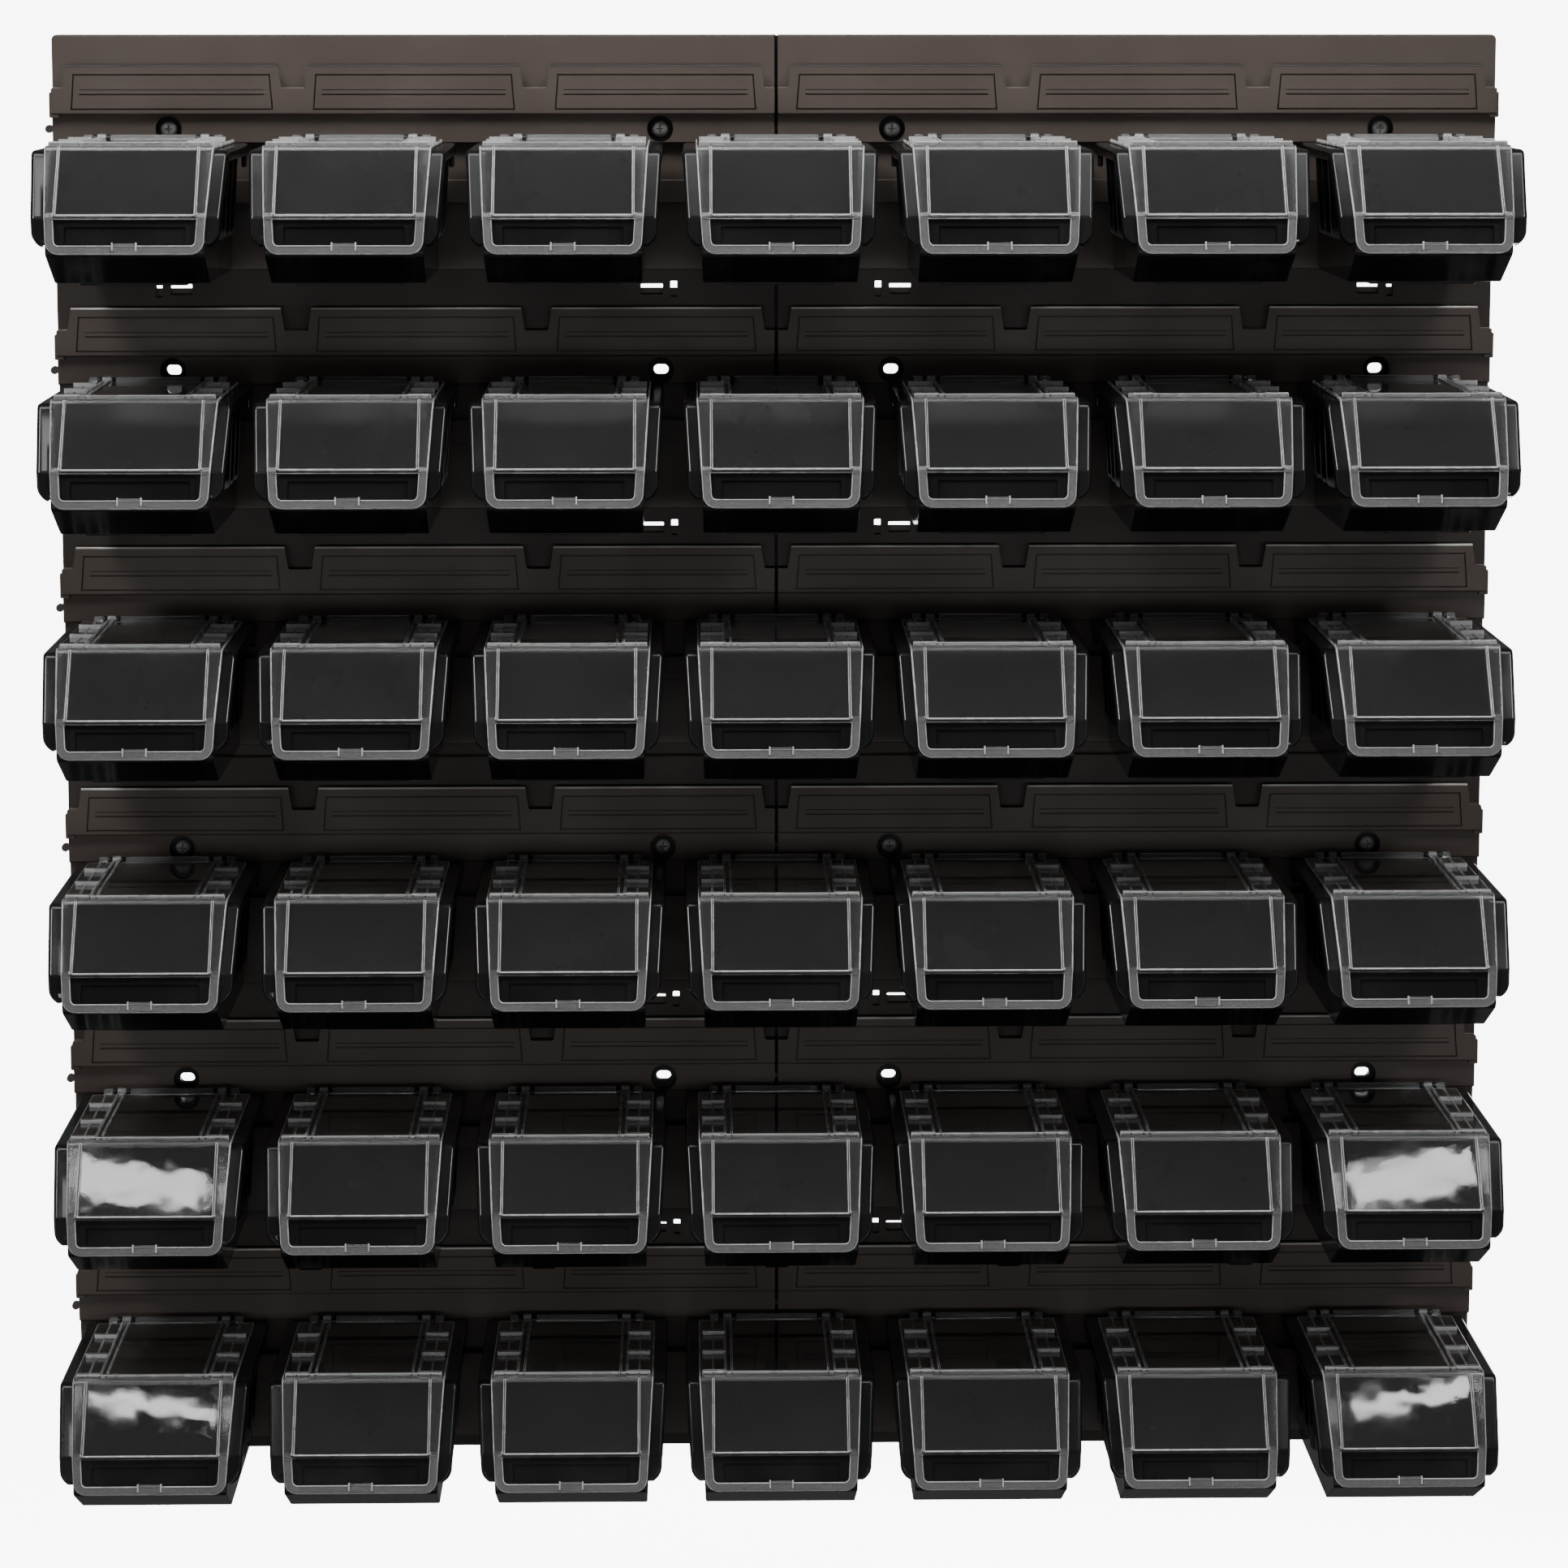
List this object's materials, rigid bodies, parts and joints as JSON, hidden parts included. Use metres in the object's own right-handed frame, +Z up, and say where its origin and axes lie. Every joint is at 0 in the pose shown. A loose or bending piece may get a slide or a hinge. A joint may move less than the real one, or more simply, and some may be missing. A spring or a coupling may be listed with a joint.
{
  "type": "wall-mounted bin rack",
  "caption": "Wall rack of moulded louvre panels with rows of hook-on storage bins, each with a clear hinged lid, for sorting small parts in a workshop.",
  "frame": {"origin": "middle of the rack's back, on the wall's face, where the four panels meet", "axes": "+Z up, +Y into the wall, so the front faces -Y, +X to the right seen from the front"},
  "size_m": [0.7761, 0.186, 0.7796],
  "materials": {
    "panel_plastic": "fine matt grain",
    "bin_plastic": "glossy moulded",
    "lid_clear": "clear, slightly hazy",
    "screw_zinc": "zinc plated"
  },
  "bodies": {
    "wall_frame": {"panel_upper_left": "panel_plastic", "panel_upper_right": "panel_plastic", "panel_lower_left": "panel_plastic", "panel_lower_right": "panel_plastic", "wall_screws": "screw_zinc"},
    "bin_row_1": {"bins_row_1": "bin_plastic"},
    "bin_row_2": {"bins_row_2": "bin_plastic"},
    "bin_row_3": {"bins_row_3": "bin_plastic"},
    "bin_row_4": {"bins_row_4": "bin_plastic"},
    "bin_row_5": {"bins_row_5": "bin_plastic"},
    "bin_row_6": {"bins_row_6": "bin_plastic"},
    "lid_r1_c1": {"lid_r1_c1": "lid_clear"},
    "lid_r1_c2": {"lid_r1_c2": "lid_clear"},
    "lid_r1_c3": {"lid_r1_c3": "lid_clear"},
    "lid_r1_c4": {"lid_r1_c4": "lid_clear"},
    "lid_r1_c5": {"lid_r1_c5": "lid_clear"},
    "lid_r1_c6": {"lid_r1_c6": "lid_clear"},
    "lid_r1_c7": {"lid_r1_c7": "lid_clear"},
    "lid_r2_c1": {"lid_r2_c1": "lid_clear"},
    "lid_r2_c2": {"lid_r2_c2": "lid_clear"},
    "lid_r2_c3": {"lid_r2_c3": "lid_clear"},
    "lid_r2_c4": {"lid_r2_c4": "lid_clear"},
    "lid_r2_c5": {"lid_r2_c5": "lid_clear"},
    "lid_r2_c6": {"lid_r2_c6": "lid_clear"},
    "lid_r2_c7": {"lid_r2_c7": "lid_clear"},
    "lid_r3_c1": {"lid_r3_c1": "lid_clear"},
    "lid_r3_c2": {"lid_r3_c2": "lid_clear"},
    "lid_r3_c3": {"lid_r3_c3": "lid_clear"},
    "lid_r3_c4": {"lid_r3_c4": "lid_clear"},
    "lid_r3_c5": {"lid_r3_c5": "lid_clear"},
    "lid_r3_c6": {"lid_r3_c6": "lid_clear"},
    "lid_r3_c7": {"lid_r3_c7": "lid_clear"},
    "lid_r4_c1": {"lid_r4_c1": "lid_clear"},
    "lid_r4_c2": {"lid_r4_c2": "lid_clear"},
    "lid_r4_c3": {"lid_r4_c3": "lid_clear"},
    "lid_r4_c4": {"lid_r4_c4": "lid_clear"},
    "lid_r4_c5": {"lid_r4_c5": "lid_clear"},
    "lid_r4_c6": {"lid_r4_c6": "lid_clear"},
    "lid_r4_c7": {"lid_r4_c7": "lid_clear"},
    "lid_r5_c1": {"lid_r5_c1": "lid_clear"},
    "lid_r5_c2": {"lid_r5_c2": "lid_clear"},
    "lid_r5_c3": {"lid_r5_c3": "lid_clear"},
    "lid_r5_c4": {"lid_r5_c4": "lid_clear"},
    "lid_r5_c5": {"lid_r5_c5": "lid_clear"},
    "lid_r5_c6": {"lid_r5_c6": "lid_clear"},
    "lid_r5_c7": {"lid_r5_c7": "lid_clear"},
    "lid_r6_c1": {"lid_r6_c1": "lid_clear"},
    "lid_r6_c2": {"lid_r6_c2": "lid_clear"},
    "lid_r6_c3": {"lid_r6_c3": "lid_clear"},
    "lid_r6_c4": {"lid_r6_c4": "lid_clear"},
    "lid_r6_c5": {"lid_r6_c5": "lid_clear"},
    "lid_r6_c6": {"lid_r6_c6": "lid_clear"},
    "lid_r6_c7": {"lid_r6_c7": "lid_clear"}
  },
  "joints": [
    {"name": "bin_row_1_lift", "type": "slide", "parent": "wall_frame", "child": "bin_row_1", "axis": [0, 0, 1], "range_m": [0, 0.011]},
    {"name": "bin_row_2_lift", "type": "slide", "parent": "wall_frame", "child": "bin_row_2", "axis": [0, 0, 1], "range_m": [0, 0.011]},
    {"name": "bin_row_3_lift", "type": "slide", "parent": "wall_frame", "child": "bin_row_3", "axis": [0, 0, 1], "range_m": [0, 0.011]},
    {"name": "bin_row_4_lift", "type": "slide", "parent": "wall_frame", "child": "bin_row_4", "axis": [0, 0, 1], "range_m": [0, 0.011]},
    {"name": "bin_row_5_lift", "type": "slide", "parent": "wall_frame", "child": "bin_row_5", "axis": [0, 0, 1], "range_m": [0, 0.011]},
    {"name": "bin_row_6_lift", "type": "slide", "parent": "wall_frame", "child": "bin_row_6", "axis": [0, 0, 1], "range_m": [0, 0.011]},
    {"name": "lid_r1_c1_open", "type": "hinge", "parent": "bin_row_1", "child": "lid_r1_c1", "pos_m": [-0.3309, -0.019, 0.3346], "axis": [-1, 0, 0], "range_deg": [0, 92]},
    {"name": "lid_r1_c2_open", "type": "hinge", "parent": "bin_row_1", "child": "lid_r1_c2", "pos_m": [-0.2206, -0.019, 0.3346], "axis": [-1, 0, 0], "range_deg": [0, 92]},
    {"name": "lid_r1_c3_open", "type": "hinge", "parent": "bin_row_1", "child": "lid_r1_c3", "pos_m": [-0.1103, -0.019, 0.3346], "axis": [-1, 0, 0], "range_deg": [0, 92]},
    {"name": "lid_r1_c4_open", "type": "hinge", "parent": "bin_row_1", "child": "lid_r1_c4", "pos_m": [0, -0.019, 0.3346], "axis": [-1, 0, 0], "range_deg": [0, 92]},
    {"name": "lid_r1_c5_open", "type": "hinge", "parent": "bin_row_1", "child": "lid_r1_c5", "pos_m": [0.1103, -0.019, 0.3346], "axis": [-1, 0, 0], "range_deg": [0, 92]},
    {"name": "lid_r1_c6_open", "type": "hinge", "parent": "bin_row_1", "child": "lid_r1_c6", "pos_m": [0.2206, -0.019, 0.3346], "axis": [-1, 0, 0], "range_deg": [0, 92]},
    {"name": "lid_r1_c7_open", "type": "hinge", "parent": "bin_row_1", "child": "lid_r1_c7", "pos_m": [0.3309, -0.019, 0.3346], "axis": [-1, 0, 0], "range_deg": [0, 92]},
    {"name": "lid_r2_c1_open", "type": "hinge", "parent": "bin_row_2", "child": "lid_r2_c1", "pos_m": [-0.3309, -0.019, 0.2056], "axis": [-1, 0, 0], "range_deg": [0, 28]},
    {"name": "lid_r2_c2_open", "type": "hinge", "parent": "bin_row_2", "child": "lid_r2_c2", "pos_m": [-0.2206, -0.019, 0.2056], "axis": [-1, 0, 0], "range_deg": [0, 28]},
    {"name": "lid_r2_c3_open", "type": "hinge", "parent": "bin_row_2", "child": "lid_r2_c3", "pos_m": [-0.1103, -0.019, 0.2056], "axis": [-1, 0, 0], "range_deg": [0, 28]},
    {"name": "lid_r2_c4_open", "type": "hinge", "parent": "bin_row_2", "child": "lid_r2_c4", "pos_m": [0, -0.019, 0.2056], "axis": [-1, 0, 0], "range_deg": [0, 28]},
    {"name": "lid_r2_c5_open", "type": "hinge", "parent": "bin_row_2", "child": "lid_r2_c5", "pos_m": [0.1103, -0.019, 0.2056], "axis": [-1, 0, 0], "range_deg": [0, 28]},
    {"name": "lid_r2_c6_open", "type": "hinge", "parent": "bin_row_2", "child": "lid_r2_c6", "pos_m": [0.2206, -0.019, 0.2056], "axis": [-1, 0, 0], "range_deg": [0, 28]},
    {"name": "lid_r2_c7_open", "type": "hinge", "parent": "bin_row_2", "child": "lid_r2_c7", "pos_m": [0.3309, -0.019, 0.2056], "axis": [-1, 0, 0], "range_deg": [0, 28]},
    {"name": "lid_r3_c1_open", "type": "hinge", "parent": "bin_row_3", "child": "lid_r3_c1", "pos_m": [-0.3309, -0.019, 0.0766], "axis": [-1, 0, 0], "range_deg": [0, 28]},
    {"name": "lid_r3_c2_open", "type": "hinge", "parent": "bin_row_3", "child": "lid_r3_c2", "pos_m": [-0.2206, -0.019, 0.0766], "axis": [-1, 0, 0], "range_deg": [0, 28]},
    {"name": "lid_r3_c3_open", "type": "hinge", "parent": "bin_row_3", "child": "lid_r3_c3", "pos_m": [-0.1103, -0.019, 0.0766], "axis": [-1, 0, 0], "range_deg": [0, 28]},
    {"name": "lid_r3_c4_open", "type": "hinge", "parent": "bin_row_3", "child": "lid_r3_c4", "pos_m": [0, -0.019, 0.0766], "axis": [-1, 0, 0], "range_deg": [0, 28]},
    {"name": "lid_r3_c5_open", "type": "hinge", "parent": "bin_row_3", "child": "lid_r3_c5", "pos_m": [0.1103, -0.019, 0.0766], "axis": [-1, 0, 0], "range_deg": [0, 28]},
    {"name": "lid_r3_c6_open", "type": "hinge", "parent": "bin_row_3", "child": "lid_r3_c6", "pos_m": [0.2206, -0.019, 0.0766], "axis": [-1, 0, 0], "range_deg": [0, 28]},
    {"name": "lid_r3_c7_open", "type": "hinge", "parent": "bin_row_3", "child": "lid_r3_c7", "pos_m": [0.3309, -0.019, 0.0766], "axis": [-1, 0, 0], "range_deg": [0, 28]},
    {"name": "lid_r4_c1_open", "type": "hinge", "parent": "bin_row_4", "child": "lid_r4_c1", "pos_m": [-0.3309, -0.019, -0.0554], "axis": [-1, 0, 0], "range_deg": [0, 28]},
    {"name": "lid_r4_c2_open", "type": "hinge", "parent": "bin_row_4", "child": "lid_r4_c2", "pos_m": [-0.2206, -0.019, -0.0554], "axis": [-1, 0, 0], "range_deg": [0, 28]},
    {"name": "lid_r4_c3_open", "type": "hinge", "parent": "bin_row_4", "child": "lid_r4_c3", "pos_m": [-0.1103, -0.019, -0.0554], "axis": [-1, 0, 0], "range_deg": [0, 28]},
    {"name": "lid_r4_c4_open", "type": "hinge", "parent": "bin_row_4", "child": "lid_r4_c4", "pos_m": [0, -0.019, -0.0554], "axis": [-1, 0, 0], "range_deg": [0, 28]},
    {"name": "lid_r4_c5_open", "type": "hinge", "parent": "bin_row_4", "child": "lid_r4_c5", "pos_m": [0.1103, -0.019, -0.0554], "axis": [-1, 0, 0], "range_deg": [0, 28]},
    {"name": "lid_r4_c6_open", "type": "hinge", "parent": "bin_row_4", "child": "lid_r4_c6", "pos_m": [0.2206, -0.019, -0.0554], "axis": [-1, 0, 0], "range_deg": [0, 28]},
    {"name": "lid_r4_c7_open", "type": "hinge", "parent": "bin_row_4", "child": "lid_r4_c7", "pos_m": [0.3309, -0.019, -0.0554], "axis": [-1, 0, 0], "range_deg": [0, 28]},
    {"name": "lid_r5_c1_open", "type": "hinge", "parent": "bin_row_5", "child": "lid_r5_c1", "pos_m": [-0.3309, -0.019, -0.1844], "axis": [-1, 0, 0], "range_deg": [0, 28]},
    {"name": "lid_r5_c2_open", "type": "hinge", "parent": "bin_row_5", "child": "lid_r5_c2", "pos_m": [-0.2206, -0.019, -0.1844], "axis": [-1, 0, 0], "range_deg": [0, 28]},
    {"name": "lid_r5_c3_open", "type": "hinge", "parent": "bin_row_5", "child": "lid_r5_c3", "pos_m": [-0.1103, -0.019, -0.1844], "axis": [-1, 0, 0], "range_deg": [0, 28]},
    {"name": "lid_r5_c4_open", "type": "hinge", "parent": "bin_row_5", "child": "lid_r5_c4", "pos_m": [0, -0.019, -0.1844], "axis": [-1, 0, 0], "range_deg": [0, 28]},
    {"name": "lid_r5_c5_open", "type": "hinge", "parent": "bin_row_5", "child": "lid_r5_c5", "pos_m": [0.1103, -0.019, -0.1844], "axis": [-1, 0, 0], "range_deg": [0, 28]},
    {"name": "lid_r5_c6_open", "type": "hinge", "parent": "bin_row_5", "child": "lid_r5_c6", "pos_m": [0.2206, -0.019, -0.1844], "axis": [-1, 0, 0], "range_deg": [0, 28]},
    {"name": "lid_r5_c7_open", "type": "hinge", "parent": "bin_row_5", "child": "lid_r5_c7", "pos_m": [0.3309, -0.019, -0.1844], "axis": [-1, 0, 0], "range_deg": [0, 28]},
    {"name": "lid_r6_c1_open", "type": "hinge", "parent": "bin_row_6", "child": "lid_r6_c1", "pos_m": [-0.3309, -0.019, -0.3134], "axis": [-1, 0, 0], "range_deg": [0, 28]},
    {"name": "lid_r6_c2_open", "type": "hinge", "parent": "bin_row_6", "child": "lid_r6_c2", "pos_m": [-0.2206, -0.019, -0.3134], "axis": [-1, 0, 0], "range_deg": [0, 28]},
    {"name": "lid_r6_c3_open", "type": "hinge", "parent": "bin_row_6", "child": "lid_r6_c3", "pos_m": [-0.1103, -0.019, -0.3134], "axis": [-1, 0, 0], "range_deg": [0, 28]},
    {"name": "lid_r6_c4_open", "type": "hinge", "parent": "bin_row_6", "child": "lid_r6_c4", "pos_m": [0, -0.019, -0.3134], "axis": [-1, 0, 0], "range_deg": [0, 28]},
    {"name": "lid_r6_c5_open", "type": "hinge", "parent": "bin_row_6", "child": "lid_r6_c5", "pos_m": [0.1103, -0.019, -0.3134], "axis": [-1, 0, 0], "range_deg": [0, 28]},
    {"name": "lid_r6_c6_open", "type": "hinge", "parent": "bin_row_6", "child": "lid_r6_c6", "pos_m": [0.2206, -0.019, -0.3134], "axis": [-1, 0, 0], "range_deg": [0, 28]},
    {"name": "lid_r6_c7_open", "type": "hinge", "parent": "bin_row_6", "child": "lid_r6_c7", "pos_m": [0.3309, -0.019, -0.3134], "axis": [-1, 0, 0], "range_deg": [0, 28]}
  ]
}
